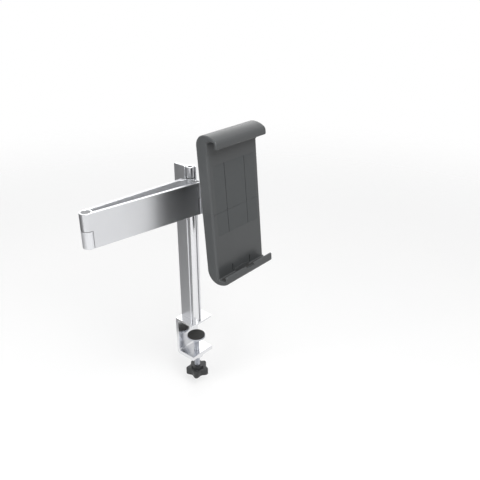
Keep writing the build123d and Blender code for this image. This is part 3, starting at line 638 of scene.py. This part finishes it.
@dataclass
class EdgeClamp(Assembly):
    """The clamp, with its threaded spindle and hand knob.

    Attributes:
        pitch: the thread's rise in one turn.
        root: the thread's inner radius.
        crest: the thread's outer radius.
        flank: the shares of a turn at which the ridge begins, is full and falls off again.
        turn_steps: facets in a turn of the thread.
        lead: how many turns below the tail the ridge begins, to be trimmed.
        spare_turns: how many turns it has more than the thread is long.
        tip: the radius of the smooth end in the foot.
        tip_length: how far that end stands out of the thread.
        tip_steps: facets round it.
        tip_round: the rounding of its rim.
        tip_facets: facets across that rounding.
        knob_waist: the knob's radius between its lobes.
        knob_lobe: how far a lobe stands out from the waist.
        knob_lobes: how many lobes it has.
        knob_pinch: how much narrower than a plain wave the lobes are.
        knob_steps: facets round the knob.
        knob_round: the rounding of the knob's rims.
        knob_facets: facets across that rounding.
        collar: the radius of the collar on top of the knob.
        collar_height: the collar's height.
        collar_land: the width of the flat ring round its foot.
        collar_round: the rounding of its rim.
        collar_facets: facets across that rounding.
        dish: the depth of the round hollow under the knob.
        dish_radius: the hollow's radius.
        dish_draft: how much narrower its floor is.
        inset: the hair's breadth by which a face is inset before it takes its circle.
    """

    pitch: float = 1.25 * MM
    root: float = 3.3 * MM
    crest: float = 3.97 * MM
    flank: tuple[float, float, float] = (0.12, 0.46, 0.66)
    turn_steps: int = 24
    lead: float = 1.5
    spare_turns: int = 2
    tip: float = 3.0 * MM
    tip_length: float = 4.3 * MM
    tip_steps: int = 32
    tip_round: float = 0.4 * MM
    tip_facets: int = 2
    knob_waist: float = 12.0 * MM
    knob_lobe: float = 4.9 * MM
    knob_lobes: int = 5
    knob_pinch: float = 1.3
    knob_steps: int = 120
    knob_round: float = 1.6 * MM
    knob_facets: int = 4
    collar: float = 8.0 * MM
    collar_height: float = 4.0 * MM
    collar_land: float = 1.0 * MM
    collar_round: float = 0.8 * MM
    collar_facets: int = 3
    dish: float = 1.6 * MM
    dish_radius: float = 9.4 * MM
    dish_draft: float = 0.5 * MM
    inset: float = 0.01 * MM
    nodes: tuple[str, ...] = (
        "clamp_bracket",
        "desk_pad",
        "pressure_plate",
        "pressure_pad",
        "clamp_spindle",
        "clamp_knob",
    )

    def thread(self, centre: Vector, low: float, high: float) -> bmesh.types.BMesh:
        """Spin one ridge up a helix and trim it to length.

        Args:
            centre: a point on the axis.
            low: the height of the tail.
            high: the height where the thread stops.

        Returns:
            The closed threaded rod.
        """
        mesh = bmesh.new()
        turns = math.ceil((high - low) / self.pitch) + self.spare_turns
        base = low - self.lead * self.pitch
        begins, full, falls = self.flank
        ridge = (
            (self.root, 0.0),
            (self.root, begins),
            (self.crest, full),
            (self.crest, falls),
            (self.root, 1.0),
        )
        points = [
            mesh.verts.new((centre.x + radius, centre.y, base + share * self.pitch))
            for radius, share in ridge
        ]
        edges = [mesh.edges.new(pair) for pair in zip(points, points[1:])]
        bmesh.ops.spin(
            mesh,
            geom=points + edges,
            cent=centre,
            axis=UP,
            dvec=(0, 0, self.pitch / self.turn_steps),
            angle=turns * math.tau,
            steps=turns * self.turn_steps,
            use_merge=False,
        )
        merge(mesh)
        for height, side in ((low, Facing.DOWN), (high, Facing.UP)):
            bmesh.ops.bisect_plane(
                mesh,
                geom=mesh.verts[:] + mesh.edges[:] + mesh.faces[:],
                plane_co=(0, 0, height),
                plane_no=(0, 0, side.value),
                clear_outer=True,
            )
        bmesh.ops.holes_fill(mesh, edges=open_edges(mesh), sides=0)
        return mesh

    def add_tip(self, mesh: bmesh.types.BMesh, centre: Vector, top: float) -> None:
        """Add the smooth end that sits in the foot's socket.

        Args:
            mesh: the threaded rod.
            centre: a point on the axis.
            top: the height of the end's top.
        """
        length = self.tip_length + self.pitch
        added = bmesh.ops.create_cone(
            mesh,
            cap_ends=True,
            segments=self.tip_steps,
            radius1=self.tip,
            radius2=self.tip,
            depth=length,
            matrix=Matrix.Translation((centre.x, centre.y, top - length / 2)),
        )
        upper = {vert for vert in added["verts"] if vert.co.z > top - self.pitch}
        rim = [edge for edge in mesh.edges if upper.issuperset(edge.verts)]
        soften(mesh, rim, self.tip_round, self.tip_facets)

    def knob(self, centre: Vector, low: float, high: float) -> bmesh.types.BMesh:
        """Raise a lobed outline to the knob, with a collar on top and a hollow below.

        Args:
            centre: a point on the axis.
            low: the height of the knob's underside.
            high: the height of the collar's top.

        Returns:
            The knob's shape.
        """
        mesh = bmesh.new()
        middle = Vector((centre.x, centre.y, low))
        bmesh.ops.create_circle(
            mesh,
            cap_ends=True,
            segments=self.knob_steps,
            radius=1.0,
            matrix=Matrix.Translation(middle),
        )
        for vert in mesh.verts:
            arm = Vector((vert.co.x - centre.x, vert.co.y - centre.y, 0.0))
            wave = (1 + math.cos(self.knob_lobes * math.atan2(arm.y, arm.x))) / 2
            reach = self.knob_waist + self.knob_lobe * wave**self.knob_pinch
            vert.co = middle + arm.normalized() * reach
        raised = bmesh.ops.extrude_face_region(mesh, geom=mesh.faces[:])["geom"]
        lifted = [item for item in raised if isinstance(item, bmesh.types.BMVert)]
        height = high - self.collar_height - low
        bmesh.ops.translate(mesh, verts=lifted, vec=(0, 0, height))
        bmesh.ops.recalc_face_normals(mesh, faces=mesh.faces[:])
        rims = [
            edge
            for edge in mesh.edges
            if abs(edge.verts[0].co.z - edge.verts[1].co.z) < LEVEL
        ]
        soften(mesh, rims, self.knob_round, self.knob_facets)
        top = largest_flat(mesh, Facing.UP)
        self.step(mesh, top, centre, self.collar + self.collar_land, 0.0)
        self.step(mesh, top, centre, self.collar, self.collar_height)
        soften(mesh, top.edges, self.collar_round, self.collar_facets)
        sole = largest_flat(mesh, Facing.DOWN)
        self.step(mesh, sole, centre, self.dish_radius, 0.0)
        self.step(mesh, sole, centre, self.dish_radius - self.dish_draft, self.dish)
        return mesh

    def step(
        self,
        mesh: bmesh.types.BMesh,
        face: bmesh.types.BMFace,
        centre: Vector,
        radius: float,
        rise: float,
    ) -> None:
        """Inset a face to a circle and raise it.

        Args:
            mesh: the knob.
            face: the face that becomes the circle.
            centre: a point on the axis.
            radius: the circle's radius.
            rise: how far the circle is raised.
        """
        bmesh.ops.inset_region(mesh, faces=[face], thickness=self.inset)
        for vert in face.verts:
            arm = Vector((vert.co.x - centre.x, vert.co.y - centre.y, 0.0)).normalized()
            vert.co = Vector((centre.x, centre.y, vert.co.z + rise)) + arm * radius

    def build(self, shop: Workshop) -> None:
        """Build the threaded spindle and the knob.

        Args:
            shop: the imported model.
        """
        low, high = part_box("clamp_spindle")
        centre = Vector(((low.x + high.x) / 2, (low.y + high.y) / 2, 0.0))
        spindle = self.thread(centre, low.z, high.z - self.tip_length)
        self.add_tip(spindle, centre, high.z)
        shop.add_piece("threaded_spindle", spindle, Slot.ZINC_STEEL, "screw", ["clamp_spindle"])
        low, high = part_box("clamp_knob")
        knob = self.knob(centre, low.z, high.z)
        shop.add_piece("lobed_knob", knob, Slot.BLACK_PLASTIC, "screw", ["clamp_knob"])


@dataclass
class PostAndArms(Assembly):
    """The post, whose channel a turned bush closes, and the two arms that fold on it.

    Attributes:
        bore: the radius of the bush's hole.
        bore_depth: the hole's depth.
        well: the radius of the counterbore above the hole.
        well_depth: the counterbore's depth.
        rim: the chamfer at the bush's rim.
        mouth: the chamfer at the counterbore's mouth.
        turn_steps: facets round the bush.
    """

    bore: float = 2.1 * MM
    bore_depth: float = 9.0 * MM
    well: float = 2.8 * MM
    well_depth: float = 2.8 * MM
    rim: float = 0.5 * MM
    mouth: float = 0.25 * MM
    turn_steps: int = 64
    nodes: tuple[str, ...] = (
        "post_profile",
        "post_screws",
        "spacer_rod",
        "thrust_washers",
        "stop_bush",
        "stop_screw",
        "rear_arm",
        "front_arm",
        "elbow_pin",
        "elbow_washer",
    )

    def bush(self) -> bmesh.types.BMesh:
        """Turn the bush from its section.

        Returns:
            The bush's shape, with a blind hole down its middle.
        """
        low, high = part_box("stop_bush")
        centre = (low + high) / 2
        radius = (high.x - low.x) / 2
        section = (
            (0.0, high.z - self.bore_depth),
            (self.bore, high.z - self.bore_depth),
            (self.bore, high.z - self.well_depth),
            (self.well, high.z - self.well_depth),
            (self.well, high.z - self.mouth),
            (self.well + self.mouth, high.z),
            (radius - self.rim, high.z),
            (radius, high.z - self.rim),
            (radius, low.z),
            (0.0, low.z),
        )
        mesh = bmesh.new()
        points = [mesh.verts.new((centre.x + out, centre.y, height)) for out, height in section]
        edges = [mesh.edges.new(pair) for pair in zip(points, points[1:])]
        bmesh.ops.spin(
            mesh,
            geom=points + edges,
            cent=centre,
            axis=UP,
            angle=math.tau,
            steps=self.turn_steps,
            use_merge=True,
        )
        merge(mesh)
        return mesh

    def build(self, shop: Workshop) -> None:
        """Build the bush, which is bright metal."""
        shop.add_piece("turned_bush", self.bush(), Slot.SATIN_ALUMINIUM, "stand", ["stop_bush"])

    def dress(self, shop: Workshop) -> None:
        """Dress the post and the arms; the rear arm's own finish is painted lighter as painted
        light.
        """
        super().dress(shop)
        # The rear arm's tone is painted lighter than the front arm's: painted light on its shaded
        # inner face.
        shop.cover("rear_arm", BRUSHED_ARM_PAINTED_LIGHTER.make())


@dataclass
class WristAndTilt(Assembly):
    """The link at the front arm's end and the head that tilts on it."""

    nodes: tuple[str, ...] = (
        "wrist_link",
        "wrist_pin",
        "wrist_washer",
        "tilt_head",
        "tilt_washers",
        "tilt_bolt",
        "tilt_nut",
        "friction_ring",
        "pivot_screw",
    )


@dataclass
class TabletHolder(Assembly):
    """The two jaws on their carrier, with ribbed rubber in the hook and on the ledge.

    Attributes:
        ribs: how many ribs run along each liner.
        rib_steps: facets across one rib.
        rib_depth: how deep the grooves between the ribs are.
        groove_pinch: how much narrower than a plain wave the grooves are.
        span_steps: facets along a rib.
    """

    ribs: int = 5
    rib_steps: int = 10
    rib_depth: float = 0.45 * MM
    groove_pinch: float = 1.5
    span_steps: int = 12
    nodes: tuple[str, ...] = (
        "carrier_tray",
        "carrier_cover",
        "cover_screws",
        "pinion_pin",
        "return_spring",
        "pinion",
        "upper_jaw",
        "upper_rack",
        "upper_rack_screw",
        "upper_face_pads",
        "upper_hook_liner",
        "lower_jaw",
        "lower_rack",
        "lower_rack_screw",
        "lower_face_pads",
        "lower_ledge_liner",
    )

    @staticmethod
    def face_frame(shop: Workshop) -> Matrix:
        """Find the holder's own frame from the joint that it turns on.

        Args:
            shop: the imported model.

        Returns:
            X across the holder, Y up along it and Z out of its face.
        """
        joint = shop.joint("holder_turn")
        out = Vector(joint["axis"]).normalized()
        across = Vector((1, 0, 0))
        turned = Matrix((across, out.cross(across), out)).transposed().to_4x4()
        return Matrix.Translation(joint["pos_m"]) @ turned

    def liner(
        self, node: bpy.types.Object, face: Matrix, facing: Facing
    ) -> bmesh.types.BMesh:
        """Shape a ribbed strip in the room of a plain one.

        Args:
            node: the plain strip.
            face: the holder's frame.
            facing: which way the ribs point.

        Returns:
            The strip's shape, in place.
        """
        inside = [face.inverted() @ vert.co for vert in node.data.vertices]
        low = Vector(min(point[axis] for point in inside) for axis in range(3))
        high = Vector(max(point[axis] for point in inside) for axis in range(3))
        back, crest = (low.y, high.y) if facing is Facing.UP else (high.y, low.y)
        mesh = bmesh.new()
        bmesh.ops.create_grid(
            mesh, x_segments=self.span_steps, y_segments=self.ribs * self.rib_steps, size=0.5
        )
        for vert in mesh.verts:
            across, along = vert.co.x + 0.5, vert.co.y + 0.5
            groove = (1 + math.cos(along * self.ribs * math.tau)) / 2
            height = crest - facing.value * self.rib_depth * groove**self.groove_pinch
            vert.co = (
                low.x + across * (high.x - low.x),
                height,
                low.z + along * (high.z - low.z),
            )
        raised = bmesh.ops.extrude_face_region(mesh, geom=mesh.faces[:])["geom"]
        for item in raised:
            if isinstance(item, bmesh.types.BMVert):
                item.co.y = back
        bmesh.ops.transform(mesh, matrix=face, verts=mesh.verts[:])
        return mesh

    def build(self, shop: Workshop) -> None:
        """Build the two ribbed liners.

        Args:
            shop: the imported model.
        """
        face = self.face_frame(shop)
        for jaw, node, facing in (
            ("upper_jaw", "upper_hook_liner", Facing.DOWN),
            ("lower_jaw", "lower_ledge_liner", Facing.UP),
        ):
            strip = self.liner(shop.frame["nodes"][node], face, facing)
            shop.add_piece(f"ribbed_{node}", strip, Slot.BLACK_RUBBER, jaw, [node])


@dataclass(frozen=True)
class SoftBox:
    """A large, soft lamp.

    Attributes:
        name: what it is called.
        place: where it hangs.
        aim: the point that it faces.
        size: its width and height.
        power: its watts.
        mirrored: whether gloss shows it.
    """

    name: str
    place: tuple[float, float, float]
    aim: tuple[float, float, float]
    size: tuple[float, float]
    power: float
    mirrored: bool = True

    def hang(self) -> None:
        """Add the lamp to the scene, out of the camera's sight."""
        light = bpy.data.lights.new(self.name, "AREA")
        light.shape = "RECTANGLE"
        light.size, light.size_y = self.size
        light.energy = self.power
        lamp = bpy.data.objects.new(self.name, light)
        bpy.context.scene.collection.objects.link(lamp)
        turn = (Vector(self.aim) - Vector(self.place)).to_track_quat("-Z", "Y")
        lamp.matrix_world = Matrix.Translation(self.place) @ turn.to_matrix().to_4x4()
        lamp.visible_camera = False
        lamp.visible_glossy = self.mirrored
        LOG.info("hung %s", self.name)


@dataclass
class Studio:
    """The floor, the light and the camera.

    Attributes:
        floor_height: just under the knob at the clamp's widest.
        floor_reach: half the floor's side.
        floor_tone: the floor's colour.
        floor_glow: what the floor shows the camera and gloss on top of its light, to be white.
        floor_fade: how far out the floor starts to pass into white, and where it has gone.
        card_middle: the middle of the grey card, in plan.
        card_half: half the card's side.
        card_lift: how far the card lies above the floor.
        card_fade: where along Y the card starts and stops darkening.
        card_light: its light before and after that.
        fill: the world's light on the object from below and from above.
        fill_rise: the slopes at which the light from below ends and that from above begins.
        camera_place: where the photograph was taken from.
        camera_right: the picture's rightward direction.
        camera_up: the picture's upward direction.
        camera_ahead: the direction of view.
        lens_mm: the focal length for a sensor 36 mm wide.
        lamps: the soft boxes.
    """

    floor_height: float = -0.112
    floor_reach: float = 2.6
    floor_tone: str = "#B4B4B4"
    floor_glow: float = 0.54
    floor_fade: tuple[float, float] = (0.6, 1.6)
    card_middle: tuple[float, float] = (-0.78, 0.87)
    card_half: float = 0.75
    card_lift: float = 2 * MM
    card_fade: tuple[float, float] = (0.12, 0.72)
    card_light: tuple[float, float] = (0.4, 0.135)
    fill: tuple[float, float] = (0.18, 0.37)
    fill_rise: tuple[float, float] = (-0.3, 0.5)
    camera_place: tuple[float, float, float] = (-0.4854, -0.4955, 0.4675)
    camera_right: tuple[float, float, float] = (0.6485, -0.7612, 0.0)
    camera_up: tuple[float, float, float] = (0.3343, 0.2848, 0.8984)
    camera_ahead: tuple[float, float, float] = (0.6839, 0.5826, -0.4391)
    lens_mm: float = 43.575
    lamps: tuple[SoftBox, ...] = (
        SoftBox("front_box", (-0.35, -0.9, 1.35), (0.0, -0.05, 0.2), (1.0, 1.0), 17.0),
        # Gloss doesn't show this one: it would burn out the metal that faces -X.
        SoftBox(
            "left_box", (-1.6, 0.1, 0.6), (0.0, -0.05, 0.2), (1.4, 1.4), 21.0, mirrored=False
        ),
        SoftBox("back_box", (1.3, 1.15, 0.95), (0.0, 0.0, 0.2), (1.7, 1.0), 6.5),
    )

    @staticmethod
    def shown_rays(tree: bpy.types.NodeTree) -> bpy.types.NodeSocket:
        """Tell rays from the camera, from gloss and through glass from the light's own rays.

        Args:
            tree: the node tree that asks.

        Returns:
            1 for the rays that should see white.
        """
        path = add_node(tree, "ShaderNodeLightPath")
        seen = add_node(
            tree,
            "ShaderNodeMath",
            {0: path.outputs["Is Camera Ray"], 1: path.outputs["Is Glossy Ray"]},
            operation="MAXIMUM",
        )
        shown = add_node(
            tree,
            "ShaderNodeMath",
            {0: seen.outputs["Value"], 1: path.outputs["Is Transmission Ray"]},
            operation="MAXIMUM",
        )
        return shown.outputs["Value"]

    @staticmethod
    def lay_sheet(
        name: str,
        middle: tuple[float, float],
        height: float,
        half: float,
        material: bpy.types.Material,
    ) -> bpy.types.Object:
        """Lay a flat square that belongs to the stage.

        Args:
            name: what it is called.
            middle: its middle, in plan.
            height: how high it lies.
            half: half its side.
            material: what it is made of.

        Returns:
            The stage's object.
        """
        mesh = bmesh.new()
        spot = Matrix.Translation((*middle, height))
        bmesh.ops.create_grid(mesh, x_segments=1, y_segments=1, size=half, matrix=spot)
        data = bpy.data.meshes.new(name)
        mesh.to_mesh(data)
        mesh.free()
        data.materials.append(material)
        sheet = bpy.data.objects.new(name, data)
        bpy.context.scene.collection.objects.link(sheet)
        return sheet

    def floor_paper(self) -> bpy.types.Material:
        """Make matt paper that takes the shadow near the object and passes into white further out.

        Returns:
            The floor's material.
        """
        material = bpy.data.materials.new("floor_paper_matt")
        tree = clear_tree(material)
        place = add_node(tree, "ShaderNodeTexCoord").outputs["Object"]
        distance = add_node(tree, "ShaderNodeVectorMath", {0: place}, operation="LENGTH")
        gone = add_node(
            tree,
            "ShaderNodeMapRange",
            {
                "Value": distance.outputs["Value"],
                "From Min": self.floor_fade[0],
                "From Max": self.floor_fade[1],
            },
            interpolation_type="SMOOTHSTEP",
        )
        paper = add_node(tree, "ShaderNodeBsdfDiffuse", {"Color": linear(self.floor_tone)})
        strength = add_node(
            tree,
            "ShaderNodeMath",
            {0: self.shown_rays(tree), 1: self.floor_glow},
            operation="MULTIPLY",
        )
        glow = add_node(tree, "ShaderNodeEmission", {"Strength": strength.outputs["Value"]})
        near = add_node(
            tree, "ShaderNodeAddShader", {0: paper.outputs["BSDF"], 1: glow.outputs["Emission"]}
        )
        clear = add_node(tree, "ShaderNodeBsdfTransparent")
        ground = add_node(
            tree,
            "ShaderNodeMixShader",
            {0: gone.outputs["Result"], 1: near.outputs["Shader"], 2: clear.outputs["BSDF"]},
        )
        add_node(tree, "ShaderNodeOutputMaterial", {"Surface": ground.outputs["Shader"]})
        return material

    def card_paper(self) -> bpy.types.Material:
        """Make the grey card, which darkens along Y.

        Returns:
            The card's material.
        """
        material = bpy.data.materials.new("card_grey")
        tree = clear_tree(material)
        place = add_node(tree, "ShaderNodeTexCoord").outputs["Object"]
        split = add_node(tree, "ShaderNodeSeparateXYZ", {"Vector": place})
        strength = add_node(
            tree,
            "ShaderNodeMapRange",
            {
                "Value": split.outputs["Y"],
                "From Min": self.card_fade[0],
                "From Max": self.card_fade[1],
                "To Min": self.card_light[0],
                "To Max": self.card_light[1],
            },
        )
        glow = add_node(tree, "ShaderNodeEmission", {"Strength": strength.outputs["Result"]})
        add_node(tree, "ShaderNodeOutputMaterial", {"Surface": glow.outputs["Emission"]})
        return material

    def lay_ground(self) -> None:
        """Lay the floor, and on it a grey card that gloss shows and nothing else sees."""
        floor = self.lay_sheet(
            "studio_floor", (0.0, 0.0), self.floor_height, self.floor_reach, self.floor_paper()
        )
        # The world alone fills the undersides, so the fill is the same wherever a joint stands.
        floor.visible_diffuse = False
        card = self.lay_sheet(
            "studio_card",
            self.card_middle,
            self.floor_height + self.card_lift,
            self.card_half,
            self.card_paper(),
        )
        card.visible_camera = False
        card.visible_diffuse = False
        card.visible_transmission = False
        card.visible_shadow = False

    def light_world(self) -> None:
        """Make the world white where it shows and a plain fill elsewhere."""
        world = bpy.data.worlds.new("studio")
        bpy.context.scene.world = world
        tree = clear_tree(world)
        heading = add_node(tree, "ShaderNodeTexCoord").outputs["Generated"]
        split = add_node(tree, "ShaderNodeSeparateXYZ", {"Vector": heading})
        dome = add_node(
            tree,
            "ShaderNodeMapRange",
            {
                "Value": split.outputs["Z"],
                "From Min": self.fill_rise[0],
                "From Max": self.fill_rise[1],
                "To Min": self.fill[0],
                "To Max": self.fill[1],
            },
        )
        strength = add_node(
            tree,
            "ShaderNodeMapRange",
            {"Value": self.shown_rays(tree), "To Min": dome.outputs["Result"], "To Max": 1.0},
        )
        sky = add_node(
            tree,
            "ShaderNodeBackground",
            {"Color": WHITE, "Strength": strength.outputs["Result"]},
        )
        add_node(tree, "ShaderNodeOutputWorld", {"Surface": sky.outputs["Background"]})

    def set_camera(self) -> None:
        """Put the camera where the photograph was taken from."""
        data = bpy.data.cameras.new("photograph_view")
        data.lens = self.lens_mm
        camera = bpy.data.objects.new("photograph_view", data)
        bpy.context.scene.collection.objects.link(camera)
        behind = -Vector(self.camera_ahead)
        axes = Matrix((Vector(self.camera_right), Vector(self.camera_up), behind))
        turn = axes.transposed().to_4x4()
        camera.matrix_world = Matrix.Translation(self.camera_place) @ turn
        bpy.context.scene.camera = camera

    def build(self) -> None:
        """Build the whole studio."""
        self.lay_ground()
        self.light_world()
        self.set_camera()
        for lamp in self.lamps:
            lamp.hang()
        bpy.context.scene.view_settings.view_transform = "Standard"


def main() -> None:
    """Load the part, dress it, build its finest pieces and set up the studio."""
    logging.basicConfig(level=logging.INFO, format="%(name)s: %(message)s")
    for leftover in list(bpy.data.objects):
        bpy.data.objects.remove(leftover)
    shop = Workshop(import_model())
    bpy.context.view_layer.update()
    shop.mix(FINISHES)
    for assembly in (EdgeClamp(), PostAndArms(), WristAndTilt(), TabletHolder()):
        assembly.dress(shop)
        assembly.build(shop)
    Studio().build()


if __name__ == "__main__":
    main()
